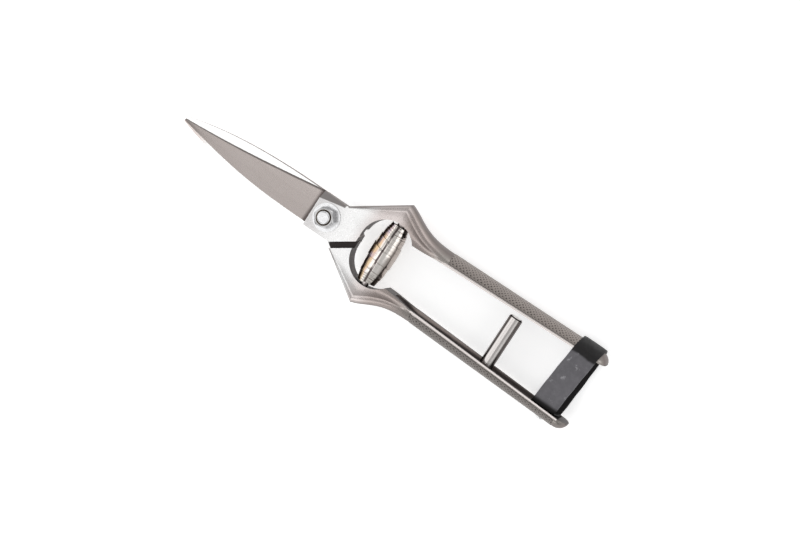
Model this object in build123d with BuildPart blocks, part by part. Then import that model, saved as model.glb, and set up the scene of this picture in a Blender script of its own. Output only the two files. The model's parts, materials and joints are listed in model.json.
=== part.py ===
from build123d import *
from math import cos, hypot, pi, radians, sin, tan
import os

os.makedirs("parts", exist_ok=True)

# Small garden shears made of two twin forged levers that cross at a half-lap
# pivot.  They lie flat with the nut upward.  +X runs from the blade tips to
# the handle ends, +Y is the side of the front lever's handle, +Z is up.  The
# rear lever is the front lever turned half a turn about the X axis.
# The origin is the middle of the tool's footprint, on the surface it lies on.

# ---- overall ----
blade_reach = 75.5  # pivot centre to the blade tips
handle_reach = 129.0  # pivot centre to the handle ends
plate_thick = 4.4  # each lever at the half-lap
lap_gap = 0.05  # running clearance between the two flat inner faces

# ---- neck round the pivot ----
neck_edge_half = 8.5  # pivot to the neck's outline on the cutting-edge side
neck_spine_half = 7.9  # pivot to the neck's outline on the spine side
neck_end = 7.0  # pivot to where the ground blade face begins
shoulder_turn = 34.0  # slope of the plate's slanted shoulder
shoulder_out = 9.9  # pivot to that shoulder, square to it
step_gap = 2.7  # between the shoulder and the other lever's step
fairing_width = 3.2  # the neck is sloped off toward the cutting edge, where the blade starts
fairing_depth = 2.2
fairing_end_width = 0.9  # where it reaches the neck's corner
fairing_end_depth = 0.8

# ---- blade ----
spine_thick = 3.5  # at the root of the ground face
tip_thick = 0.9
edge_thick = 0.3
spine_land = 1.2  # flat left along the spine
hollow = 0.35  # depth of the hollow grind

# ---- bow ----
apex_x = 26.9  # the bow's outer corner
apex_out = 23.9
bow_rise = 34.5  # slope of the bow's outline from the neck to the corner
bow_fall = 24.5  # slope from the corner down to the handle
spring_x = 27.4  # the spring and the middle of the opening's arc
opening_radius = 11.6
opening_up = 3.3  # the arc's centre above the tool's middle
bow_end = apex_x + 11.6  # where the bow turns into the handle
bow_end_inner = 10.5  # the rims' line where it meets the opening in a sharp corner
bow_band = 3.6  # rounded part of the bow's outer edge
bow_dish = 0.55  # how far the bow's faces are hollowed
bow_boxy = 3.0  # how square the bow's edge is, 2 being round
neck_overlap = 0.6  # the bow's first section stands this far past the neck's corner
neck_band = 1.2  # edge rounding there
neck_boxy = 4.0
rise_back = 9.5  # a section this far before the corner
rise_inner = 8.5
rise_band = 2.6
rise_boxy = 3.4
past_corner = 6.2  # a section this far past the corner
past_inset = 1.0  # its inner end is this much nearer the pivot
past_band = 4.0
past_boxy = 2.8
bow_end_swell = 0.5  # the metal is this much thicker by the bow's end
bow_end_band = 4.0
bow_end_boxy = 2.6
throat_x = bow_end + 6.5  # a section between the bow and the grip
throat_inner = 11.05
throat_outer = 17.2
throat_half = 5.6
throat_band = 3.9
throat_boxy = 2.2
throat_dish = 0.15
faint_dish = 0.01  # practically flat
spigot_radius = 1.7  # forged peg that keeps the spring's end in place
spigot_height = 3.0

# ---- handle ----
grip_start = bow_end + 13.5  # full gutter section from here on
gutter_end = handle_reach - 4.0
handle_half_width = 6.5
crown_start = 16.9  # outermost line of the handle at grip_start
crown_end = 18.3  # and at gutter_end
rim_start = 11.6  # plane of the two rims at grip_start
rim_end = 14.0  # and at gutter_end
rim_flat = 1.3  # width of each rim
gutter_wall = 1.8  # metal left under the crown
side_height = 0.7  # straight part of the handle's sides above the rim
gutter_lead = 10.5  # the gutter fades in over this length before the grip
gutter_lead_half = 2.5
gutter_lead_depth = 0.4
tip_round = 2.4  # a section of the handle's rounded end, past the gutter
tip_narrowing = 1.2
tip_lowering = 0.9
end_half = 2.6  # the very end
end_depth = 1.1
end_lowering = 3.0

# ---- pivot hardware ----
thread_radius = 2.8
bore_clearance = 0.05
head_height = 3.6
nut_flats = 8.0
nut_height = 4.0
nut_turn = 36.0
corner_ring = 3.8  # radius of the flat left by the chamfered corners
corner_slope = 30.0
thread_end = 0.7  # how far the bolt shows past the nut
washer_radius = 6.0
washer_thick = 0.5

# ---- stop pin ----
stop_x = handle_reach - 41.0
stop_radius = 3.0
stop_reach = 9.8  # its free end, past the tool's middle
stop_seat = 0.9  # its shoulder stands this far over the lowest line of the gutter
tenon_radius = 2.0
tenon_clearance = 0.02
stop_chamfer = 0.5

# ---- spring ----
spring_mid_radius = 6.0
spring_end_radius = 4.2
spring_bore_radius = 2.3
spring_turns = 4  # steps of the overlapping strip from the middle to an end
seat_clearance = 0.15

# ---- strap and its rivet ----
strap_middle = handle_reach - 11.2
strap_width = 11.5
strap_thick = 1.0
strap_clearance = 0.3
strap_side_clearance = 0.45  # at the front handle's sides
fold_clearance = 0.45  # round the plies in the gutter
rivet_radius = 1.3
rivet_head_radius = 2.1
rivet_head_height = 0.9
rivet_head_round = 0.6
rivet_seat = 0.06  # its head clears the sloping crown by this at the middle
burr_radius = 2.4
burr_thick = 0.6
burr_rise = 0.5  # the burr spans the hollow of the curved ply
rivet_peening = 0.4  # how far the rivet shows past the burr

# The bolt's head is the lowest thing, so the lap's middle plane is this high.
lap_z = plate_thick + head_height
pivot_x = -(handle_reach - blade_reach) / 2
lap = Plane(origin=(pivot_x, 0, lap_z))
long_axis = Axis((pivot_x, 0, lap_z), (1, 0, 0))


def across(station):
    """Plane square to the tool, with local x along +Y and local y along +Z."""
    return Plane(origin=(pivot_x + station, 0, lap_z), x_dir=(0, 1, 0), z_dir=(1, 0, 0))


def toward_handle(station, side):
    """Plane through the tool's long axis at a station, facing +Y or -Y."""
    return Plane(origin=(pivot_x + station, 0, lap_z), x_dir=(1, 0, 0), z_dir=(0, side, 0))


def along(start, end, station):
    """A size that changes evenly along the grip, at one station."""
    return start + (end - start) * (station - grip_start) / (gutter_end - grip_start)


def crown(station):
    return along(crown_start, crown_end, station)


def rim(station):
    return along(rim_start, rim_end, station)


# Where the sloping lines of the outline meet.
shoulder_slope = radians(shoulder_turn)
rise = tan(radians(bow_rise))
fall = tan(radians(bow_fall))
neck_corner_x = apex_x - (apex_out - neck_edge_half) / rise
shoulder_corner_x = (shoulder_out - neck_spine_half * cos(shoulder_slope)) / sin(shoulder_slope)
opening_wall = spring_x - opening_radius
shoulder_end_y = (opening_wall * sin(shoulder_slope) - shoulder_out) / cos(shoulder_slope)
bow_end_outer = apex_out - (bow_end - apex_x) * fall
step_out = shoulder_out + step_gap
opening_seat = opening_up + opening_radius


def bow_outer(station):
    """The bow's outer line between the neck and its corner."""
    return apex_out - (apex_x - station) * rise


def blade_section(station, spine, edge, thick):
    """Cross-section of the front blade: spine toward -Y, cutting edge toward +Y."""
    base = lap_gap / 2
    land = min(spine_land, (spine + edge) / 3)
    dip = hollow * (thick - edge_thick) / (spine_thick - edge_thick)
    middle = ((edge - spine + land) / 2, (thick + edge_thick) / 2 - dip)
    with BuildSketch(across(station)) as section:
        with BuildLine():
            Polyline(
                (-spine + land, thick), (-spine, thick), (-spine, base), (edge, base), (edge, edge_thick)
            )
            ThreePointArc((edge, edge_thick), middle, (-spine + land, thick))
        make_face()
    return section.sketch


def rounded_edge(face, band, half, boxy):
    """Points up a rounded edge that begins at the level face and stands band past it."""
    quarter = [pi / 2 * step / 4 for step in range(1, 4)]
    upper = [(face + band * cos(t) ** (2 / boxy), half * sin(t) ** (2 / boxy)) for t in quarter]
    lower = [(out, -height) for out, height in reversed(upper)]
    return [(face, -half), *lower, (face + band, 0), *upper, (face, half)]


def rail_section(inner, outer, half, band, boxy, dish):
    """Cross-section of the bow or handle, upright on the line from inner to outer.

    half is half its thickness, band the depth of its rounded outer part, boxy the
    power of that rounding and dish the hollow in each face.
    """
    width = hypot(outer[0] - inner[0], outer[1] - inner[1])
    out = ((outer[0] - inner[0]) / width, (outer[1] - inner[1]) / width, 0)
    face = width - band
    plane = Plane(
        origin=(pivot_x + inner[0], inner[1], lap_z), x_dir=out, z_dir=(out[1], -out[0], 0)
    )
    with BuildSketch(plane) as section:
        with BuildLine():
            Line((0, half), (0, -half))
            ThreePointArc((0, -half), (face / 2, dish - half), (face, -half))
            Spline(*rounded_edge(face, band, half, boxy))
            ThreePointArc((face, half), (face / 2, half - dish), (0, half))
        make_face()
    return section.sketch


def grip_section(station):
    """The handle's D-shaped section where the gutter runs."""
    depth = crown(station) - rim(station)
    return rail_section(
        (station, rim(station)), (station, crown(station)),
        handle_half_width, depth - side_height, 2.0, faint_dish,
    )


def gutter_section(station, mouth, floor, half):
    """Cross-section of the hollow inside a handle, running out past its rims."""
    past = mouth - 1.0
    with BuildSketch(across(station)) as section:
        with BuildLine():
            Polyline((mouth, -half), (past, -half), (past, half), (mouth, half))
            ThreePointArc((mouth, half), (floor, 0), (mouth, -half))
        make_face()
    return section.sketch


def fairing_section(station, width, depth):
    """The metal taken off the neck's upper corner on the cutting-edge side."""
    slope = depth / width
    with BuildSketch(across(station)) as section:
        with BuildLine():
            Polyline(
                (neck_edge_half - width - 1, plate_thick + slope),
                (neck_edge_half + 1, plate_thick + slope),
                (neck_edge_half + 1, plate_thick - depth - slope),
                close=True,
            )
        make_face()
    return section.sketch


gutter_half = handle_half_width - rim_flat

neck_outer = (neck_corner_x + neck_overlap, bow_outer(neck_corner_x + neck_overlap))
neck_inner = (opening_wall + 1.0, 1.0)
rise_outer = (apex_x - rise_back, bow_outer(apex_x - rise_back))
past_outer = (apex_x + past_corner, apex_out - past_corner * fall)
mitre = rail_section(
    (spring_x, bow_end_inner), (apex_x, apex_out), plate_thick, bow_band, bow_boxy, bow_dish
)

with BuildPart() as lever_blank:
    # bow, from the neck to its corner and on to the handle
    loft(
        sections=[
            rail_section(neck_inner, neck_outer, plate_thick, neck_band, neck_boxy, faint_dish),
            rail_section(
                (opening_wall + 4.0, rise_inner), rise_outer, plate_thick, rise_band, rise_boxy, bow_dish / 2
            ),
            mitre,
        ],
        ruled=True,
    )
    loft(
        sections=[
            mitre,
            rail_section(
                (apex_x + past_corner - past_inset, bow_end_inner), past_outer,
                plate_thick, past_band, past_boxy, bow_dish,
            ),
            rail_section(
                (bow_end, bow_end_inner), (bow_end, bow_end_outer),
                plate_thick + bow_end_swell, bow_end_band, bow_end_boxy, bow_dish,
            ),
            rail_section(
                (throat_x, throat_inner), (throat_x, throat_outer),
                throat_half, throat_band, throat_boxy, throat_dish,
            ),
            grip_section(grip_start),
        ]
    )
    # the opening's arc
    with BuildSketch(lap.offset(-2 * plate_thick)):
        with Locations((spring_x, opening_up)):
            Circle(opening_radius)
        with Locations((spring_x, 0)):
            Rectangle(2 * opening_radius, 2 * opening_up)
    extrude(amount=4 * plate_thick, mode=Mode.SUBTRACT)
    # the bow's lower half starts at the step that clears the other lever's shoulder
    with BuildSketch(lap.offset(-2 * plate_thick)):
        with Locations(Location((0, 0), 90 - shoulder_turn)):
            Rectangle(2 * step_out, 80)
    extrude(amount=2 * plate_thick + lap_gap / 2, mode=Mode.SUBTRACT)
    # neck plate
    with BuildSketch(lap.offset(lap_gap / 2)):
        with BuildLine():
            Polyline(
                neck_outer,
                (neck_corner_x, neck_edge_half),
                (-neck_end, neck_edge_half),
                (-neck_end, -neck_spine_half),
                (shoulder_corner_x, -neck_spine_half),
                (opening_wall, shoulder_end_y),
                (opening_wall, neck_inner[1]),
                neck_inner,
                neck_outer,
            )
        make_face()
        with Locations((spring_x, opening_up)):
            Circle(opening_radius, mode=Mode.SUBTRACT)
    extrude(amount=plate_thick - lap_gap / 2)
    # slope running out along the neck's edge
    loft(
        sections=[
            fairing_section(-neck_end, fairing_width, fairing_depth),
            fairing_section(neck_corner_x, fairing_end_width, fairing_end_depth),
        ],
        ruled=True,
        mode=Mode.SUBTRACT,
    )
    # blade
    loft(
        sections=[
            blade_section(-blade_reach + 0.5, 1.1, 0.0, tip_thick),
            blade_section(-0.85 * blade_reach, 3.7, 0.85, 1.9),
            blade_section(-0.56 * blade_reach, 6.8, 3.3, 2.7),
            blade_section(-0.28 * blade_reach, 7.9, 6.3, 3.3),
            blade_section(-neck_end, neck_spine_half, neck_edge_half, spine_thick),
        ]
    )
    # handle
    loft(sections=[grip_section(grip_start), grip_section(gutter_end)], ruled=True)
    loft(
        sections=[
            grip_section(gutter_end),
            rail_section(
                (gutter_end + tip_round, rim_end), (gutter_end + tip_round, crown_end - tip_lowering),
                handle_half_width - tip_narrowing, crown_end - tip_lowering - rim_end - side_height,
                2.0, faint_dish,
            ),
            rail_section(
                (handle_reach, crown_end - end_lowering - end_depth),
                (handle_reach, crown_end - end_lowering), end_half, end_depth - 0.2, 2.0, faint_dish,
            ),
        ]
    )
    # gutter
    loft(
        sections=[
            gutter_section(
                grip_start - gutter_lead, throat_inner, throat_inner + gutter_lead_depth, gutter_lead_half
            ),
            gutter_section(grip_start, rim_start, crown_start - gutter_wall, gutter_half),
        ],
        ruled=True,
        mode=Mode.SUBTRACT,
    )
    loft(
        sections=[
            gutter_section(grip_start, rim_start, crown_start - gutter_wall, gutter_half),
            gutter_section(gutter_end, rim_end, crown_end - gutter_wall, gutter_half),
        ],
        ruled=True,
        mode=Mode.SUBTRACT,
    )
    # forged peg for the spring's end
    with BuildSketch(toward_handle(spring_x, -1).offset(-opening_seat - 0.5)):
        Circle(spigot_radius)
    extrude(amount=spigot_height + 0.5)
    # pivot bore
    with Locations(lap.offset(plate_thick)):
        Hole(thread_radius + bore_clearance)

with BuildPart() as front_lever:
    add(lever_blank.part)

rear_crown = crown(stop_x)
rivet_crown = crown(strap_middle)

with BuildPart() as rear_lever:
    add(lever_blank.part.rotate(long_axis, 180))
    with BuildSketch(toward_handle(stop_x, -1)):
        Circle(tenon_radius + tenon_clearance)
    extrude(amount=rear_crown + 1, mode=Mode.SUBTRACT)
    with BuildSketch(toward_handle(strap_middle, -1)):
        Circle(rivet_radius + tenon_clearance)
    extrude(amount=rivet_crown + 1, mode=Mode.SUBTRACT)

with BuildPart() as pivot_bolt:
    with BuildSketch(lap.offset(-plate_thick - head_height)):
        RegularPolygon(nut_flats / 2, 6, major_radius=False)
    extrude(amount=head_height)
    with Locations(lap.offset(-plate_thick - head_height)):
        Cone(
            corner_ring, corner_ring + head_height / tan(radians(corner_slope)), head_height,
            align=(Align.CENTER, Align.CENTER, Align.MIN), mode=Mode.INTERSECT,
        )
    with BuildSketch(lap.offset(-plate_thick)):
        Circle(thread_radius)
    extrude(amount=2 * plate_thick + washer_thick + nut_height + thread_end)
    fillet(pivot_bolt.faces().sort_by(Axis.Z)[-1].edges(), thread_end)

with BuildPart() as pivot_washer:
    with BuildSketch(lap.offset(plate_thick)):
        Circle(washer_radius)
        Circle(thread_radius + bore_clearance, mode=Mode.SUBTRACT)
    extrude(amount=washer_thick)

with BuildPart() as pivot_nut:
    with BuildSketch(lap.offset(plate_thick + washer_thick)):
        RegularPolygon(nut_flats / 2, 6, major_radius=False, rotation=nut_turn)
        Circle(thread_radius, mode=Mode.SUBTRACT)
    extrude(amount=nut_height)
    with Locations(lap.offset(plate_thick + washer_thick)):
        Cone(
            corner_ring + nut_height / tan(radians(corner_slope)), corner_ring, nut_height,
            align=(Align.CENTER, Align.CENTER, Align.MIN), mode=Mode.INTERSECT,
        )

with BuildPart() as stop_pin:
    with BuildSketch(toward_handle(stop_x, 1).offset(gutter_wall - rear_crown + stop_seat)):
        Circle(stop_radius)
    extrude(amount=rear_crown - gutter_wall - stop_seat + stop_reach)
    chamfer(stop_pin.faces().sort_by(Axis.Y)[-1].edges(), stop_chamfer)
    with BuildSketch(toward_handle(stop_x, 1).offset(-rear_crown)):
        Circle(tenon_radius)
    extrude(amount=gutter_wall + stop_seat)

# A double volute spring: one strip wound from the middle, each turn inside the last.
seat_dip = opening_radius - (opening_radius**2 - spring_end_radius**2) ** 0.5
half_spring = opening_seat - seat_dip - seat_clearance
turn_width = half_spring / spring_turns
turn_step = (spring_mid_radius - spring_end_radius) / (spring_turns - 1)
with BuildPart() as volute_spring:
    for turn in range(spring_turns):
        with BuildSketch(toward_handle(spring_x, 1).offset(-(turn + 1) * turn_width)):
            Circle(spring_mid_radius - turn * turn_step)
        extrude(amount=2 * (turn + 1) * turn_width)
    with BuildSketch(toward_handle(spring_x, 1).offset(-half_spring)):
        Circle(spring_bore_radius)
    extrude(amount=2 * half_spring, mode=Mode.SUBTRACT)

# ---- strap: one leather band, both ends under the rivet in the rear handle's gutter ----
front_crown = crown(strap_middle + strap_width / 2)
strap_half = handle_half_width + strap_side_clearance + strap_thick
strap_top = front_crown + strap_clearance + strap_thick
strap_side = rim(strap_middle + strap_width / 2) + side_height
ply_floor = rivet_crown - gutter_wall - fold_clearance
ply_top = ply_floor - 2 * strap_thick - burr_rise
fold_y = -rim(strap_middle)
fold_half = gutter_half - fold_clearance


def strap_outline(inset, plies):
    """The strap's outline seen along the tool, inset at the sides and lifted by plies in the gutter."""
    side = strap_half - inset
    fold = fold_half - inset
    with BuildSketch(across(strap_middle - strap_width / 2)) as outline:
        with BuildLine():
            Line((strap_side, side), (fold_y, fold))
            ThreePointArc((fold_y, fold), (plies * strap_thick - ply_floor, 0), (fold_y, -fold))
            Line((fold_y, -fold), (strap_side, -side))
            Spline(*rounded_edge(strap_side, strap_top - strap_side - inset, side, 2.0))
        make_face()
    return outline.sketch


with BuildPart() as strap:
    # a closed band, two plies thick in the gutter
    extrude(strap_outline(0, 0), amount=strap_width)
    extrude(strap_outline(strap_thick, 2), amount=strap_width, mode=Mode.SUBTRACT)
    with BuildSketch(toward_handle(strap_middle, -1)):
        Circle(rivet_radius + tenon_clearance)
    extrude(amount=rivet_crown, mode=Mode.SUBTRACT)

with BuildPart() as strap_rivet:
    with BuildSketch(toward_handle(strap_middle, -1).offset(rivet_crown + rivet_seat)):
        Circle(rivet_head_radius)
    extrude(amount=rivet_head_height)
    fillet(strap_rivet.faces().sort_by(Axis.Y)[0].edges(), rivet_head_round)
    with BuildSketch(toward_handle(strap_middle, -1).offset(rivet_crown + rivet_seat)):
        Circle(rivet_radius)
    extrude(amount=ply_top - burr_thick - rivet_peening - rivet_crown - rivet_seat)

with BuildPart() as rivet_burr:
    with BuildSketch(toward_handle(strap_middle, -1).offset(ply_top - burr_thick)):
        Circle(burr_radius)
        Circle(rivet_radius + tenon_clearance, mode=Mode.SUBTRACT)
    extrude(amount=burr_thick)

front_lever.part.label = "front_lever"
export_step(front_lever.part, "parts/front_lever.step")
rear_lever.part.label = "rear_lever"
export_step(rear_lever.part, "parts/rear_lever.step")
pivot_bolt.part.label = "pivot_bolt"
export_step(pivot_bolt.part, "parts/pivot_bolt.step")
pivot_washer.part.label = "pivot_washer"
export_step(pivot_washer.part, "parts/pivot_washer.step")
pivot_nut.part.label = "pivot_nut"
export_step(pivot_nut.part, "parts/pivot_nut.step")
stop_pin.part.label = "stop_pin"
export_step(stop_pin.part, "parts/stop_pin.step")
volute_spring.part.label = "volute_spring"
export_step(volute_spring.part, "parts/volute_spring.step")
strap.part.label = "strap"
export_step(strap.part, "parts/strap.step")
strap_rivet.part.label = "strap_rivet"
export_step(strap_rivet.part, "parts/strap_rivet.step")
rivet_burr.part.label = "rivet_burr"
export_step(rivet_burr.part, "parts/rivet_burr.step")
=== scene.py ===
"""Looks of the pruning shears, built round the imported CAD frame."""

import json
import math

import bpy
import numpy as np
from mathutils import Matrix, Vector
from mathutils.bvhtree import BVHTree


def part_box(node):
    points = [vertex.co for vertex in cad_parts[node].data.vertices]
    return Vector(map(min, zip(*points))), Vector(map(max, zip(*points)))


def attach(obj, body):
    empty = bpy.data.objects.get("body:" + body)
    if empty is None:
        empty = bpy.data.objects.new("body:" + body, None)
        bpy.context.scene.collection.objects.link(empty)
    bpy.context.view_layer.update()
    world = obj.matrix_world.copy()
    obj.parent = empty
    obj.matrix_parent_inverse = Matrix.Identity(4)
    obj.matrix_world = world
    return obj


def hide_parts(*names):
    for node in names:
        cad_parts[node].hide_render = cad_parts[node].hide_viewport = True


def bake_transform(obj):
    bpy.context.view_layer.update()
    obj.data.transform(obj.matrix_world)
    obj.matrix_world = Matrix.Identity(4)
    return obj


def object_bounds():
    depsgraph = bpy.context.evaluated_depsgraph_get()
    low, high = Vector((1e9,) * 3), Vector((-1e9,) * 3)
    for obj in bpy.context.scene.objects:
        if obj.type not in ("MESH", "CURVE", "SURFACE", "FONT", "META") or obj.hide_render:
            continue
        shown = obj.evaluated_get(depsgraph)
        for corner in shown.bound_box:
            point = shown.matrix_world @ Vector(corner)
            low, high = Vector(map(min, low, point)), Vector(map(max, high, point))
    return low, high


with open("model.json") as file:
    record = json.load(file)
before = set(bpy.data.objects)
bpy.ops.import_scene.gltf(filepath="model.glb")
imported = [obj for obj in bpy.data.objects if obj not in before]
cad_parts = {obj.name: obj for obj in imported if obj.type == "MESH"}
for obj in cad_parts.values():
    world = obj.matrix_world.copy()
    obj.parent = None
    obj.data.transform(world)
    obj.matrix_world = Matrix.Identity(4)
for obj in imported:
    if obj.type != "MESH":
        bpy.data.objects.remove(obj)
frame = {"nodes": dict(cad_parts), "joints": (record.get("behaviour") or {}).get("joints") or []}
box_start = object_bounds()
MM = 0.001
rng = np.random.default_rng(11)

NODES = frame["nodes"]
JOINTS = {j["name"]: j for j in frame["joints"]}
PIVOT = JOINTS["pivot"]["pos_m"]
PX, LIFT = float(PIVOT[0]), float(PIVOT[2])


def along(mm):
    """A place along the tool, from millimetres past the pivot."""
    return PX + mm * MM


def local(x, y, z):
    """Pivot-centred millimetres to the row frame."""
    return np.array([along(x), y * MM, LIFT + z * MM])


def box_arrays(node):
    return [np.array(corner, float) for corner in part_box(node)]


def middle(node):
    lo, hi = box_arrays(node)
    return (lo + hi) / 2


# ---------------------------------------------------------------- materials
class Graph:
    """Small helper that adds nodes to one material."""

    def __init__(self, name):
        self.mat = bpy.data.materials.new(name)
        self.mat.use_nodes = True
        self.tree = self.mat.node_tree
        self.shader = self.tree.nodes["Principled BSDF"]
        where = self.tree.nodes.new("ShaderNodeTexCoord")
        self.coords = where.outputs["Object"]
        self.normal = where.outputs["Normal"]

    def node(self, kind, **sockets):
        n = self.tree.nodes.new("ShaderNode" + kind)
        for key, value in sockets.items():
            if isinstance(value, bpy.types.NodeSocket):
                self.link(value, n.inputs[key])
            else:
                n.inputs[key].default_value = value
        return n

    def link(self, a, b):
        self.tree.links.new(a, b)

    def feed(self, socket, value):
        """Gives one input of the shader a fixed value or another node's output."""
        if isinstance(value, bpy.types.NodeSocket):
            self.link(value, self.shader.inputs[socket])
        else:
            self.shader.inputs[socket].default_value = value

    def place(self, axis):
        return self.node("SeparateXYZ", Vector=self.coords).outputs[axis]

    def facing(self, axis):
        return self.node("SeparateXYZ", Vector=self.normal).outputs[axis]

    def noise(self, scale, detail=3.0, rough=0.5, stretch=None):
        v = self.coords
        if stretch:
            m = self.node("Mapping", Vector=v)
            m.inputs["Scale"].default_value = stretch
            v = m.outputs["Vector"]
        n = self.node("TexNoise", Vector=v, Scale=scale, Detail=detail, Roughness=rough)
        return n.outputs["Fac"]

    def ramp(self, fac, stops):
        n = self.node("ValToRGB", Fac=fac)
        elements = n.color_ramp.elements
        while len(elements) < len(stops):
            elements.new(0.5)
        for element, (place, colour) in zip(elements, stops):
            element.position = place
            element.color = (*colour, 1)
        return n.outputs["Color"]

    def span(self, value, a, b, lo=0.0, hi=1.0):
        """Smooth step from lo, where value is a, to hi, where it is b."""
        n = self.node("MapRange", Value=value)
        n.interpolation_type = "SMOOTHSTEP"
        for key, v in (("From Min", a), ("From Max", b), ("To Min", lo), ("To Max", hi)):
            n.inputs[key].default_value = v
        return n.outputs["Result"]

    def mix(self, fac, a, b):
        n = self.tree.nodes.new("ShaderNodeMix")
        n.data_type = "RGBA"
        ins = {i.identifier: i for i in n.inputs}
        self.link(fac, ins["Factor_Float"])
        for key, value in (("A_Color", a), ("B_Color", b)):
            if isinstance(value, bpy.types.NodeSocket):
                self.link(value, ins[key])
            else:
                ins[key].default_value = (*value, 1)
        return [o for o in n.outputs if o.identifier == "Result_Color"][0]

    def maths(self, op, a, b=0.0):
        n = self.tree.nodes.new("ShaderNodeMath")
        n.operation = op
        for i, value in enumerate((a, b)):
            if isinstance(value, bpy.types.NodeSocket):
                self.link(value, n.inputs[i])
            else:
                n.inputs[i].default_value = value
        return n.outputs[0]

    def times(self, *factors):
        total = factors[0]
        for factor in factors[1:]:
            total = self.maths("MULTIPLY", total, factor)
        return total

    def bump(self, height, strength, distance=0.00003):
        n = self.node("Bump", Height=height, Strength=strength, Distance=distance)
        self.link(n.outputs["Normal"], self.shader.inputs["Normal"])


# near-black painted shade for the half-lap's gap
GAP_SHADE_COLOUR = (0.030, 0.026, 0.025)


def blade_colour(g, x, up, level, grind):
    c = g.mix(grind, (0.66, 0.585, 0.555), (0.78, 0.70, 0.67))
    # painted shade of the grind's curved run-out wall, darker where the grinding stops short of the plate
    c = g.mix(g.span(x, along(-9.6), along(-7.9)), c, (0.20, 0.168, 0.158))
    # painted highlight: the flat land along the spine, which faces straight up, is made bright
    c = g.mix(g.span(up, 0.9975, 0.9992), c, (0.95, 0.945, 0.94))
    # painted shade: a dark line along the cutting edge's thickness, just above its 0.3 mm flat
    edge_line_shade = g.times(g.span(level, 0.00044, 0.00036), g.span(level, 0.00022, 0.00026))
    return g.mix(g.times(edge_line_shade, g.span(up, 0.5, 0.8, 0.0, 0.8)), c, (0.10, 0.085, 0.08))


def plate_colour(g, x, broad):
    c = g.mix(broad, (0.76, 0.755, 0.755), (0.84, 0.835, 0.83))
    # painted shade: the plate grows darker toward the blade
    return g.mix(g.span(x, along(9), along(-7)), c, (0.58, 0.565, 0.565))


def light_share(g, x, up):
    """How far a face keeps its own colour instead of the painted shade put on the lever's tilted side faces."""
    # the bow's rounded bands shade softly, the straight members more sharply
    bow = g.times(g.span(x, along(14), along(20)), g.span(x, along(44), along(38)))
    straight = g.times(g.maths("SUBTRACT", 1.0, bow), g.span(up, 0.40, 0.975))
    share = g.maths("ADD", g.times(bow, g.span(up, 0.25, 0.90)), straight)
    # painted shade: the worn, bevelled corners of blade and plate read as a dark outline
    corner = g.times(g.span(x, along(15), along(11)), g.span(up, 0.97, 0.76), 0.7)
    return g.times(share, g.maths("SUBTRACT", 1.0, corner))


def lap_colour(g, c, x, up, level):
    """The faces of the half-lap: painted shade, near black, in the gap past the plates, and polished on the
    blades.
    """
    # painted shade in the lap's gap beyond the plates
    gap_shade = g.times(g.span(level, 0.0006, 0.0003), g.span(x, along(4), along(6)), g.span(up, 0.80, 0.95))
    c = g.mix(gap_shade, c, GAP_SHADE_COLOUR)
    polish = g.times(g.span(level, 0.0003, 0.00015), g.span(x, along(-6), along(-8)), up)
    return g.mix(polish, c, (0.95, 0.945, 0.94))


def inward_wall_shade(g, c, x, up, broad):
    """Walls that face the middle of the tool get painted shade, darkest in the gutters."""
    side = g.times(g.facing("Y"), g.maths("SIGN", g.place("Y")))
    past = g.span(x, along(12), along(16))
    # painted shade, mid dark, on walls turned toward the middle of the tool
    c = g.mix(g.times(g.span(side, -0.04, -0.40), 0.75, past), c, (0.26, 0.215, 0.20))
    # near-black painted shade on steep walls that don't face outward, and on walls facing the middle
    wall = g.times(g.span(up, 0.50, 0.30), g.span(side, 0.22, 0.02))
    scale = g.times(g.maths("MAXIMUM", g.span(side, -0.40, -0.70), wall), past)
    return g.mix(scale, c, g.mix(broad, (0.050, 0.042, 0.040), (0.085, 0.072, 0.068)))


def lever_metal(name, bow_from, bend_from, grip_shade):
    """Ground blade, bright plate, brown bow and dull grip; the bow's zones start so far past the pivot, and the
    last argument darkens the grip as painted shade.
    """
    g = Graph(name)
    x = g.place("X")
    up = g.maths("ABSOLUTE", g.facing("Z"))
    level = g.maths("ABSOLUTE", g.maths("SUBTRACT", g.place("Z"), LIFT))
    broad = g.noise(110.0)
    fine = g.noise(2200.0, rough=0.65)
    grind = g.noise(60.0, 4.0, 0.6, stretch=(1.2, 14.0, 14.0))
    bow = g.mix(broad, (0.56, 0.505, 0.49), (0.68, 0.62, 0.605))
    bend = g.mix(fine, (0.34, 0.288, 0.268), (0.50, 0.438, 0.415))
    grip = g.mix(broad, *([v * grip_shade for v in tone] for tone in ((0.36, 0.33, 0.305), (0.44, 0.41, 0.385))))
    c = blade_colour(g, x, up, level, grind)
    c = g.mix(g.span(x, along(-7.3), along(-6.7)), c, plate_colour(g, x, broad))
    c = g.mix(g.span(x, along(bow_from), along(bow_from + 9)), c, bow)
    c = g.mix(g.span(x, along(bend_from), along(bend_from + 8)), c, bend)
    c = g.mix(g.span(x, along(42), along(52)), c, grip)
    # painted highlight: the gutter's level rims, which face up, are made bright
    rim = g.times(g.span(up, 0.985, 0.995), g.span(x, along(40), along(50)))
    c = g.mix(rim, c, (0.66, 0.61, 0.59))
    # painted shade, mottled dark, on faces tilted away from level
    c = g.mix(light_share(g, x, up), g.mix(broad, (0.15, 0.128, 0.12), (0.23, 0.20, 0.19)), c)
    c = lap_colour(g, c, x, up, level)
    c = inward_wall_shade(g, c, x, up, broad)
    rough = g.maths("ADD", g.span(up, 0.5, 0.95, 0.46, 0.27), g.span(fine, 0.3, 0.7, -0.04, 0.05))
    g.feed("Metallic", 1.0)
    g.feed("Base Color", c)
    g.feed("Roughness", rough)
    g.bump(g.maths("ADD", g.times(grind, 0.8), g.times(fine, 0.6)), 0.3)
    return g.mat


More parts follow.
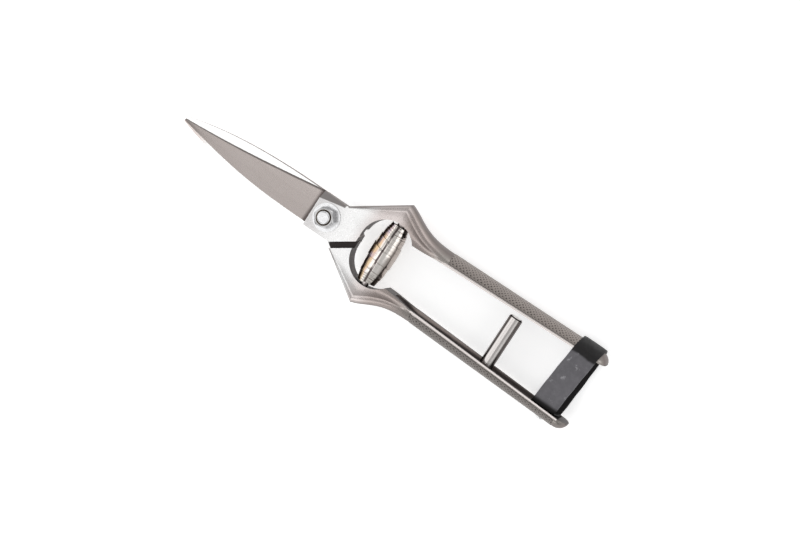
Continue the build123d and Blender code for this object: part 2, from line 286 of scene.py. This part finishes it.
def knurl_metal(name, a, b, rough):
    g = Graph(name)
    n = g.noise(900.0, 4.0, 0.65)
    g.feed("Metallic", 1.0)
    g.feed("Base Color", g.mix(n, a, b))
    g.feed("Roughness", rough)
    g.bump(n, 0.3)
    return g.mat


def bright_metal(name, a, b, smooth, rough):
    """Metal mottled between two colours, with its roughness from smooth to rough."""
    g = Graph(name)
    n = g.noise(700.0, 4.0, 0.6)
    g.feed("Metallic", 1.0)
    g.feed("Base Color", g.mix(n, a, b))
    g.feed("Roughness", g.span(n, 0.3, 0.7, smooth, rough))
    g.bump(n, 0.15)
    return g.mat


def pin_metal():
    """Turned pin: painted shade, dark brown, down both flanks, leaving it bright along the crown of the bar."""
    g = Graph("pin_steel")
    lo, hi = box_arrays("stop_pin")
    radius = float(hi[0] - lo[0]) / 2
    n = g.noise(700.0, 4.0, 0.6, stretch=(1.0, 0.05, 1.0))
    c = g.mix(n, (0.44, 0.41, 0.40), (0.74, 0.71, 0.69))
    off = g.maths("SUBTRACT", g.place("X"), middle("stop_pin")[0])
    # painted shade on both flanks, where the round bar turns away
    left = g.span(off, -0.38 * radius, -0.62 * radius)
    right = g.span(off, 0.55 * radius, 0.75 * radius)
    c = g.mix(g.times(g.maths("MAXIMUM", left, right), 0.92), c, (0.085, 0.070, 0.066))
    g.feed("Metallic", 1.0)
    g.feed("Base Color", c)
    g.feed("Roughness", g.span(n, 0.3, 0.7, 0.15, 0.26))
    g.bump(n, 0.15)
    return g.mat


def spring_metal():
    """Bright strip with temper colours down its left flank, a painted dark reflection along the middle and
    painted shade on its right side.
    """
    g = Graph("spring_steel")
    lo, hi = box_arrays("volute_spring")
    half_y = float(hi[1] - lo[1]) / 2
    mid_x, mid_y, _ = middle("volute_spring")
    x = g.place("X")
    streak = g.noise(420.0, 4.0, 0.6, stretch=(1.0, 0.12, 1.0))
    patch = g.noise(230.0, 2.0, 0.5, stretch=(1.0, 0.5, 1.0))
    gold, copper = (0.35, (0.48, 0.36, 0.19)), (0.47, (0.53, 0.34, 0.20))
    violet, straw = (0.56, (0.34, 0.26, 0.33)), (0.68, (0.50, 0.45, 0.36))
    tint = g.ramp(patch, [gold, copper, violet, straw])
    flank = g.times(g.span(x, mid_x - 0.0052, mid_x - 0.0042), g.span(x, mid_x - 0.0008, mid_x - 0.0022))
    # painted reflection: a dark streak along the middle of the strip
    crease = g.times(g.span(x, mid_x - 0.0003, mid_x), g.span(x, mid_x + 0.0009, mid_x + 0.0006))
    shade = g.mix(streak, (0.26, 0.215, 0.19), (0.62, 0.56, 0.52))
    c = g.mix(streak, (0.70, 0.64, 0.58), (0.92, 0.89, 0.86))
    c = g.mix(g.times(flank, 0.88), c, tint)
    c = g.mix(g.times(crease, g.span(patch, 0.34, 0.46)), c, (0.10, 0.08, 0.08))
    c = g.mix(g.span(x, mid_x + 0.0026, mid_x + 0.0044), c, shade)
    # painted shade of the stepped turns: fine dark rings run round the turns, thicker toward both ends
    rings = g.noise(2600.0, 3.0, 0.6, stretch=(0.06, 1.0, 0.06))
    reach = g.maths("ABSOLUTE", g.maths("SUBTRACT", g.place("Y"), mid_y))
    worn = g.times(g.span(rings, 0.56, 0.62), g.span(reach, half_y * 0.35, half_y * 0.80, 0.25, 0.9))
    g.feed("Metallic", 1.0)
    g.feed("Base Color", g.mix(worn, c, (0.13, 0.10, 0.09)))
    g.feed("Roughness", g.span(streak, 0.3, 0.7, 0.10, 0.20))
    g.bump(streak, 0.2, 0.00004)
    return g.mat


def leather():
    """Grey leather with pale scuffs, and painted shade, near black, at its bends and on the far run."""
    g = Graph("strap_leather")
    pebble = g.node("TexVoronoi", Vector=g.coords, Scale=2100.0).outputs["Distance"]
    grain = g.noise(380.0, 5.0, 0.65)
    cloud = g.noise(90.0)
    scuff = g.noise(260.0, 6.0, 0.7)
    c = g.mix(cloud, (0.095, 0.092, 0.100), (0.145, 0.140, 0.152))
    c = g.mix(g.span(grain, 0.35, 0.75), c, (0.155, 0.150, 0.162))
    c = g.mix(g.span(scuff, 0.58, 0.68), c, (0.30, 0.295, 0.31))
    y = g.place("Y")
    # painted shade where the strap bends over the handle and into the gutter, and on the far run
    top_bend = g.span(g.maths("ADD", y, g.times(cloud, 0.003)), 0.0138, 0.0150)
    root_bend = g.span(y, -0.0105, -0.0122)
    far_run = g.span(g.place("Z"), LIFT + 0.001, LIFT - 0.001)
    bend_shade = g.maths("MAXIMUM", g.maths("MAXIMUM", top_bend, root_bend), far_run)
    g.feed("Base Color", g.mix(bend_shade, c, (0.010, 0.009, 0.0095)))
    g.feed("Roughness", g.span(grain, 0.3, 0.7, 0.50, 0.68))
    g.feed("Specular IOR Level", 0.30)
    g.bump(g.maths("ADD", g.times(pebble, 0.7), grain), 0.45, 0.00010)
    return g.mat


front_steel = lever_metal("forged_steel_front", 11, 24, 1.0)
# the rear lever's grip is darkened by its last argument: painted shade
rear_steel = lever_metal("forged_steel_rear", 19, 27, 0.72)
knurl_land = knurl_metal("knurl_land", (0.225, 0.198, 0.182), (0.33, 0.295, 0.275), 0.40)
# a darker copy of the knurl for the rear grip: painted shade
knurl_shaded = knurl_metal("knurl_shaded", (0.19, 0.172, 0.162), (0.27, 0.248, 0.234), 0.42)
# near-black painted shade for the knurl's pits
knurl_pit_shade = knurl_metal("knurl_pit_shade", (0.035, 0.029, 0.027), (0.07, 0.06, 0.056), 0.6)
zinc = bright_metal("zinc", (0.66, 0.66, 0.67), (0.82, 0.82, 0.83), 0.20, 0.32)
nut_zinc = bright_metal("nut_zinc", (0.46, 0.455, 0.46), (0.62, 0.615, 0.62), 0.22, 0.34)
rivet_metal = bright_metal("rivet_metal", (0.88, 0.88, 0.88), (0.95, 0.95, 0.95), 0.22, 0.34)
# near-black painted shade for the spring's edges and the nut's countersink
painted_edge_shade = bright_metal("painted_edge_shade", (0.10, 0.08, 0.06), (0.20, 0.16, 0.12), 0.35, 0.5)
pin_steel = pin_metal()
spring_steel = spring_metal()
hide = leather()

PAINT = {
    "front_lever": front_steel,
    "rear_lever": rear_steel,
    "pivot_bolt": zinc,
    "pivot_washer": zinc,
    "pivot_nut": zinc,
    "rivet_burr": zinc,
    "strap_rivet": rivet_metal,
    "stop_pin": pin_steel,
    "volute_spring": spring_steel,
    "strap": hide,
}
for node, material in PAINT.items():
    NODES[node].data.materials.clear()
    NODES[node].data.materials.append(material)

for lever in ("front_lever", "rear_lever"):
    worn = NODES[lever].modifiers.new("worn_edges", "BEVEL")
    worn.width = 0.32 * MM
    worn.segments = 2
    worn.limit_method = "ANGLE"
    worn.angle_limit = math.radians(38)


# ---------------------------------------------------------------- meshes
def mesh_object(name, verts, faces, mats):
    mesh = bpy.data.meshes.new(name)
    mesh.from_pydata([tuple(map(float, v)) for v in verts], [], faces)
    for mat in mats:
        mesh.materials.append(mat)
    obj = bpy.data.objects.new(name, mesh)
    bpy.context.collection.objects.link(obj)
    return obj


def piece(name, verts, faces, mats, picks=None):
    """A smooth mesh in the row frame, in metres; picks are the faces' material numbers."""
    obj = mesh_object(name, verts, faces, mats)
    polygons = obj.data.polygons
    if picks is not None:
        polygons.foreach_set("material_index", np.asarray(picks, dtype=np.int32))
    polygons.foreach_set("use_smooth", np.ones(len(polygons), dtype=bool))
    obj.data.update()
    return obj


def grid_faces(rows, cols, wrap=False, flip=False):
    """Quads of a grid of points, closed across the columns if wrap."""
    faces = []
    last = cols if wrap else cols - 1
    for r in range(rows - 1):
        for c in range(last):
            n = (c + 1) % cols
            quad = (r * cols + c, r * cols + n, (r + 1) * cols + n, (r + 1) * cols + c)
            faces.append(quad[::-1] if flip else quad)
    return faces


def end_caps(rows, cols):
    """The two faces that close a wrapped grid's first and last rows."""
    return [tuple(range(cols))[::-1], tuple((rows - 1) * cols + c for c in range(cols))]


def smooth_step(v, a, b):
    t = min(max((v - a) / (b - a), 0), 1)
    return t * t * (3 - 2 * t)


def world_tree(obj):
    verts = [obj.matrix_world @ v.co for v in obj.data.vertices]
    return BVHTree.FromPolygons(verts, [tuple(p.vertices) for p in obj.data.polygons])


# ---- knurled grips: a thin skin over each handle's round back, in millimetres past the pivot
KNURL_START, KNURL_END = 51.5, 124.3
KNURL_PITCH = 1.22
PIT_DEPTH, PIT_RADIUS = 0.17, 0.36
SKIN_LIFT, SKIN_TUCK = 0.07, 0.06  # the skin stands proud of the steel, and its rim dips into it
ROUND_FROM, ROUND_RUN = 52, 73  # the handle's round back, along the tool
ROUND_START, ROUND_END = 4.6, 3.6  # how deep it is at its two ends
HALF_HIGH = 6.5
ROUND_TURN = 1.50  # radians that the skin reaches each way round the back
OUTSIDE = 40  # well clear of the tool
RAY_LEVEL = 0.9
SKIN_STEP, SKIN_ROWS = 0.2, 84


def even_turns():
    """Angles round the handle's back at even steps, and how far each is from the crown."""
    turn = np.linspace(-ROUND_TURN, ROUND_TURN, 400)
    depth = (ROUND_START + ROUND_END) / 2
    steps = np.hypot(np.diff(depth * np.cos(turn)), np.diff(HALF_HIGH * np.sin(turn)))
    run = np.concatenate([[0], np.cumsum(steps)])
    arcs = np.linspace(0, run[-1], SKIN_ROWS)
    return np.interp(arcs, run, turn), arcs - run[-1] / 2


def pit_height(x, s):
    """Height of the knurl above its pits, which lie on a diagonal grid and wander a little."""
    u, v = (x + s) / math.sqrt(2) / KNURL_PITCH, (x - s) / math.sqrt(2) / KNURL_PITCH
    wander = 0.03 * math.sin(7.3 * round(u) + 3.1 * round(v))
    r = math.hypot(u - round(u) + wander, v - round(v) - wander) * KNURL_PITCH
    return PIT_DEPTH - PIT_DEPTH * math.exp(-((r / PIT_RADIUS) ** 2))


def knurl_mask(x, s, side, rim, holes):
    """One over the grip, easing to nothing at its slanted start, its end, its rims and the rivets."""
    begin = KNURL_START + 1.3 * (1 + side * s / 9.0)
    mask = smooth_step(x, begin - 0.5, begin)
    mask *= smooth_step(-x, -KNURL_END + 0.2, -KNURL_END + 0.8)
    mask *= smooth_step(-abs(s), -rim, -rim + 0.7)
    for hole_x, hole_r in holes:
        mask *= smooth_step(math.hypot(x - hole_x, s), hole_r, hole_r + 0.6)
    return mask


def crown_height(tree, x, side, holes):
    """Where the handle's back is highest, read beside a rivet instead of on it."""
    for hole_x, hole_r in holes:
        if abs(x - hole_x) < hole_r + 0.8:
            x = hole_x + hole_r + 1.2
    hit = tree.ray_cast(Vector(local(x, side * OUTSIDE, RAY_LEVEL)), Vector((0, -side, 0)))[0]
    return hit.y / MM if hit else side * 17


def knurl(name, body, lever, side, holes, land):
    tree = world_tree(NODES[lever])
    xs = np.arange(KNURL_START - 1.0, KNURL_END, SKIN_STEP)
    turns, arcs = even_turns()
    verts, high = [], []
    for x in xs:
        depth = ROUND_START + (ROUND_END - ROUND_START) * (x - ROUND_FROM) / ROUND_RUN
        centre = Vector(local(x, crown_height(tree, x, side, holes) - side * depth, 0))
        for s, t in zip(arcs, turns):
            out = Vector((0, side * depth * math.cos(t), HALF_HIGH * math.sin(t)))
            hit, normal, _, _ = tree.ray_cast(centre + out * 2.2 * MM, -out)
            base = centre + out * MM
            if hit is None or (hit - base).length > 0.6 * MM:
                hit, normal = base, out.normalized()
            if normal.dot(out) < 0:
                normal = -normal
            h = pit_height(x, s)
            mask = knurl_mask(x, s, side, arcs[-1], holes)
            verts.append(hit + normal * (mask * (SKIN_LIFT + h) - SKIN_TUCK) * MM)
            high.append(h * mask)
    faces = grid_faces(len(xs), len(arcs), flip=side > 0)
    corners = [[high[i] for i in face] for face in faces]
    # faces deep in the pits take the near-black material: painted shade in the recesses
    picks = [1 if sum(c) / 4 < 0.075 and max(c) > 0.0005 else 0 for c in corners]
    obj = piece(name, verts, faces, [land, knurl_pit_shade], picks)
    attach(obj, body)


rivet_x = (middle("strap_rivet")[0] - PX) / MM
pin_x = (middle("stop_pin")[0] - PX) / MM
knurl("front_knurl", "front", "front_lever", 1, [], knurl_land)
knurl("rear_knurl", "rear", "rear_lever", -1, [(rivet_x, 2.3), (pin_x, 2.2)], knurl_shaded)

# ---- volute spring: one strip wound from the middle, each turn inside the last
spring_lo, spring_hi = box_arrays("volute_spring")
SPRING_X = middle("volute_spring")[0]
SPRING_OUT = (spring_hi[0] - spring_lo[0]) / 2 / MM
SPRING_HALF = spring_hi[1] / MM - 0.02
STRIP_THICK, STRIP_HALF = 0.28, 2.7
STRIP_LEAN = 0.12  # how far an edge tips toward the axis
WIDE_TURNS, CLOSE_TURNS = 1.5, 4.6  # wide turns in the middle, close ones at the end, each side
WIDE_STEP = 4.35  # along the axis, for each wide turn
WIDE_SHRINK, CLOSE_SHRINK = 0.50, 0.27  # off the radius, for each turn
FIRST_ANGLE = 2.2
STRIP_STEPS = 860
# the strip's section as shares of its half width and half thickness: the outer face is crowned
STRIP_SECTION = (
    (-1, 0.30), (-0.985, 0.85), (-0.95, 1), (-0.5, 1.1), (0, 1.15), (0.5, 1.1), (0.95, 1), (0.985, 0.85),
    (1, 0.30), (0.985, -0.85), (0.95, -1), (0, -0.95), (-0.95, -1), (-0.985, -0.85),
)
# the strip's edge faces, which take painted shade
SHADED_STRIP_EDGES = {0, 1, 7, 8, 12, 13}


def spring_mesh():
    turns = WIDE_TURNS + CLOSE_TURNS
    close_step = (SPRING_HALF - STRIP_HALF - WIDE_STEP * WIDE_TURNS) / CLOSE_TURNS
    verts = []
    for t in np.linspace(-turns, turns, STRIP_STEPS):
        s = abs(t)
        wide, close = min(s, WIDE_TURNS), max(0.0, s - WIDE_TURNS)
        y = math.copysign(WIDE_STEP * wide + close_step * close, t)
        radius = SPRING_OUT - STRIP_THICK / 2 - 0.04 - WIDE_SHRINK * wide - CLOSE_SHRINK * close
        radius += 0.06 * math.sin(2.3 * t)
        angle = 2 * math.pi * t + FIRST_ANGLE
        lean = STRIP_LEAN * math.copysign(1, t) * smooth_step(s, 0.2, 0.8)
        for across, out in STRIP_SECTION:
            py = max(-SPRING_HALF, min(SPRING_HALF, y + across * STRIP_HALF))
            r = radius + out * STRIP_THICK / 2 - lean * across
            verts.append((SPRING_X + r * math.cos(angle) * MM, py * MM, LIFT + r * math.sin(angle) * MM))
    cols = len(STRIP_SECTION)
    faces = grid_faces(STRIP_STEPS, cols, wrap=True)
    picks = [1 if (i % cols) in SHADED_STRIP_EDGES else 0 for i in range(len(faces))]
    return verts, faces + end_caps(STRIP_STEPS, cols), picks + [1, 1]


verts, faces, picks = spring_mesh()
spring = piece("spring_strip", verts, faces, [spring_steel, painted_edge_shade], picks)
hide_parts("volute_spring")
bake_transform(spring)

# ---- leather strap: a loop round the front handle, both ends riveted in the rear gutter
strap_lo, strap_hi = box_arrays("strap")
STRAP_MID = (strap_lo[0] + strap_hi[0]) / 2 / MM
STRAP_WIDE = (strap_hi[0] - strap_lo[0]) / MM - 0.5
STRAP_THICK = 1.0
STRAP_ROUND = 0.35  # radius of its edges
TOP_Y = strap_hi[1] / MM - STRAP_THICK / 2
ROOT_Y = strap_lo[1] / MM + STRAP_THICK / 2
SIDE_Z = (strap_hi[2] - strap_lo[2]) / 2 / MM - STRAP_THICK / 2
BULGE_Y = TOP_Y - 4.6  # where the loop starts round the handle
FOLD_Y = ROOT_Y + 1.9  # the gutter's rims
NEAR_FOLD_Z, FAR_FOLD_Z = 4.25, 3.9  # the runs between the gutter's rims
PATH_STEP = 0.32


def strap_run(fold_z, side):
    """One run from the gutter to the handle. It widens early, so that the handle can move in."""
    points = []
    for f in (0.12, 0.3, 0.48, 0.66, 0.88):
        widen = math.sin(min(f / 0.66, 1) * math.pi / 2)
        points.append((FOLD_Y + f * (BULGE_Y - FOLD_Y), side * (fold_z + widen * (SIDE_Z - fold_z))))
    return points


def strap_path():
    """Centre line in y and z, millimetres from the lap."""
    pts = [(ROOT_Y + 1.0, -3.3), (ROOT_Y + 0.3, -1.8), (ROOT_Y, 0.0), (ROOT_Y + 0.3, 1.9)]
    pts += [(ROOT_Y + 1.0, 3.4), (FOLD_Y, NEAR_FOLD_Z)]
    pts += strap_run(NEAR_FOLD_Z, 1)
    for t in np.linspace(0, math.pi, 15):
        pts.append((BULGE_Y + (TOP_Y - BULGE_Y) * math.sin(t), SIDE_Z * math.cos(t)))
    pts += strap_run(FAR_FOLD_Z, -1)[::-1]
    pts += [(FOLD_Y, -FAR_FOLD_Z), (ROOT_Y + 1.55, -3.0), (ROOT_Y + 1.35, -1.6), (ROOT_Y + 1.25, 0.0)]
    pts += [(ROOT_Y + 1.35, 1.6), (ROOT_Y + 1.6, 2.7)]
    pts = np.array(pts)
    # smooth the corners by Chaikin cutting, then step evenly along
    for _ in range(3):
        cut = [pts[0]]
        for a, b in zip(pts[:-1], pts[1:]):
            cut += [0.75 * a + 0.25 * b, 0.25 * a + 0.75 * b]
        pts = np.array(cut + [pts[-1]])
    run = np.concatenate([[0], np.cumsum(np.hypot(*np.diff(pts, axis=0).T))])
    even = np.linspace(0, run[-1], int(run[-1] / PATH_STEP))
    return np.stack([np.interp(even, run, pts[:, 0]), np.interp(even, run, pts[:, 1])], 1)


def strap_section():
    """Points round the strap: millimetres across, and the share of the half thickness."""
    inner = STRAP_WIDE / 2 - STRAP_ROUND
    corner = [(inner + STRAP_ROUND * math.sin(t), math.cos(t)) for t in (0.35, 0.8, 1.2)]
    half = [(a * inner, 1.0) for a in np.linspace(-1, 1, 31)] + corner + [(STRAP_WIDE / 2, 0.0)]
    half += [(a, -share) for a, share in corner[::-1]]
    return half + [(-a, -share) for a, share in half]


def strap_mesh():
    path = strap_path()
    tangent = np.gradient(path, axis=0)
    tangent /= np.linalg.norm(tangent, axis=1)[:, None]
    normal = np.stack([-tangent[:, 1], tangent[:, 0]], 1)
    section = strap_section()
    # gentle unevenness, and small creases where the leather bends over the handle
    waves = [(rng.uniform(0.5, 2.5), rng.uniform(0.05, 0.35), rng.uniform(0, 6.3)) for _ in range(14)]
    verts = []
    for i, ((y, z), (ny, nz)) in enumerate(zip(path, normal)):
        # the near run leans along the handle and the far run stands off from it
        near = smooth_step(z, -3.0, 3.0)
        skew = near * (-0.15 + 0.102 * (y + 10)) + (1 - near) * (1.2 + 0.05 * (y + 10))
        skew += 0.05 * math.sin(0.21 * i)
        bend = math.exp(-(((y - BULGE_Y - 1.0) / 2.2) ** 2))
        for a, share in section:
            rough = sum(math.sin(k * a + f * i + p) for k, f, p in waves) / len(waves)
            crease = 0.06 * bend * math.sin(1.9 * i * PATH_STEP + 0.5 * math.sin(a * 0.9)) * math.cos(a * 0.35)
            curl = 0.10 * (2 * abs(a) / STRAP_WIDE) ** 4
            h = share * (STRAP_THICK / 2 - 0.04) + 0.05 * rough + crease - curl
            across = (STRAP_MID + skew + a) * MM
            verts.append((across, (y + ny * h) * MM, LIFT + (z + nz * h) * MM))
    rows, cols = len(path), len(section)
    return verts, grid_faces(rows, cols, wrap=True) + end_caps(rows, cols)


verts, faces = strap_mesh()
strap = piece("strap_leather", verts, faces, [hide], None)
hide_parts("strap")
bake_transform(strap)

# ---- nut with a countersunk bore and softened corners
nut_lo, nut_hi = box_arrays("pivot_nut")
NUT_HIGH = (nut_hi[2] - nut_lo[2]) / MM
NUT_FLAT = 4.0
NUT_TURN = math.radians(36.0)
NUT_FACE = 3.8  # radius of the level face inside the chamfer
NUT_CHAMFER = math.tan(math.radians(30))
BORE = 2.82
SINK = ((0.0, 0.45), (0.25, 0.22), (0.45, 0.04), (0.55, 0.0))  # out from the bore, down from the top
NUT_STEPS = 144


def nut_rings():
    """Each ring's radius, share of the way on to the flats, height, and share of the chamfer's drop."""
    rings = [(BORE, 0, NUT_HIGH / 2, 0)]
    rings += [(BORE + out, 0, NUT_HIGH - down, 0) for out, down in SINK]
    rings += [(NUT_FACE, f, NUT_HIGH, -(f ** 1.15)) for f in (0, 0.15, 0.5, 0.85, 1.0)]
    rings += [(NUT_FACE, f, 0, 0.3 * f) for f in (1.0, 0.85, 0.5, 0.15, 0)]
    return rings + [(BORE, 0, 0, 0)]


def nut_mesh():
    verts = []
    rings = nut_rings()
    for radius, share, height, drop in rings:
        for k in range(NUT_STEPS):
            phi = 2 * math.pi * k / NUT_STEPS
            off = (phi - NUT_TURN - math.pi / 6) % (math.pi / 3) - math.pi / 6
            edge = min(NUT_FLAT / math.cos(off), NUT_FLAT / math.cos(math.pi / 6) - 0.06)
            reach = max(edge - NUT_FACE, 0.05)
            r = radius + share * reach
            z = height + drop * reach * NUT_CHAMFER
            verts.append((PX + r * math.cos(phi) * MM, r * math.sin(phi) * MM, nut_lo[2] + z * MM))
    faces = grid_faces(len(rings), NUT_STEPS, wrap=True, flip=True)
    # the countersink at the bore takes painted shade, dark
    return verts, faces, [1 if i // NUT_STEPS < len(SINK) else 0 for i in range(len(faces))]


verts, faces, picks = nut_mesh()
nut = piece("hex_nut", verts, faces, [nut_zinc, painted_edge_shade], picks)
nut.data.set_sharp_from_angle(angle=math.radians(28))
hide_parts("pivot_nut")
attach(nut, "rear")

# ---------------------------------------------------------------- stage
FLOOR_HALF = 3
FLOOR_LOOK = {
    "Base Color": (0.92, 0.92, 0.92, 1),
    "Roughness": 0.9,
    "Specular IOR Level": 0.0,
    "Emission Color": (1, 1, 1, 1),
    "Emission Strength": 0.50,
}
floor_mat = Graph("floor")
for socket, value in FLOOR_LOOK.items():
    floor_mat.feed(socket, value)
floor_z = float(box_start[0][2])
corners = [(x * FLOOR_HALF, y * FLOOR_HALF, floor_z) for x, y in ((-1, -1), (1, -1), (1, 1), (-1, 1))]
mesh_object("floor", corners, [(0, 1, 2, 3)], [floor_mat.mat])

world = bpy.data.worlds.new("studio")
bpy.context.scene.world = world
world.use_nodes = True
sky = world.node_tree.nodes["Background"].inputs
sky["Color"].default_value = (1, 1, 1, 1)
sky["Strength"].default_value = 0.58
bpy.context.scene.view_settings.view_transform = "Standard"

# ---- camera: places in millimetres from the pivot, and its roll about the line of sight
CAMERA_AIM, CAMERA_AT = (36.9, 0.5, 4.0), (221.7, 157.5, 911.2)
CAMERA_ROLL = math.radians(33.41)
LENS = 103.67

aim = Vector(local(*CAMERA_AIM))
cam_at = Vector(local(*CAMERA_AT))
look = (aim - cam_at).normalized()
right = look.cross(Vector((-math.sin(CAMERA_ROLL), math.cos(CAMERA_ROLL), 0))).normalized()
up = right.cross(look)
cam_data = bpy.data.cameras.new("camera")
cam_data.sensor_width = 36.0
cam_data.lens = LENS
cam_data.clip_start, cam_data.clip_end = 0.05, 20
cam = bpy.data.objects.new("camera", cam_data)
bpy.context.collection.objects.link(cam)
bpy.context.scene.camera = cam
cam.matrix_world = Matrix.Translation(cam_at) @ Matrix((right, up, -look)).transposed().to_4x4()


# ---- lights: two key softboxes where level steel mirrors them, and four large ones round the tool
def softbox(name, place, size, power):
    data = bpy.data.lights.new(name, "AREA")
    data.shape = "RECTANGLE"
    data.size, data.size_y = size
    data.energy = power
    obj = bpy.data.objects.new(name, data)
    bpy.context.collection.objects.link(obj)
    obj.location = place
    obj.rotation_mode = "QUATERNION"
    obj.rotation_quaternion = (aim - place).to_track_quat("-Z", "Y")


KEY_AWAY, KEY_SIZE, KEY_POWER = 1.1, (0.28, 0.50), 0.40
ROUND_UP, ROUND_SIZE, ROUND_POWER = 0.95, (1.1, 1.1), 3.6

key_at = aim + Vector((look.x, look.y, -look.z)) * KEY_AWAY
for name, x in (("key_left", -0.20), ("key_right", 0.20)):
    softbox(name, key_at + Vector((x, -0.06, 0)), KEY_SIZE, KEY_POWER)
for name, x, y in (("west", -1.3, -0.2), ("east", 1.5, 0.3), ("south", 0.2, -1.5), ("north", 0.1, 1.6)):
    softbox(name, aim + Vector((x, y, ROUND_UP)), ROUND_SIZE, ROUND_POWER)
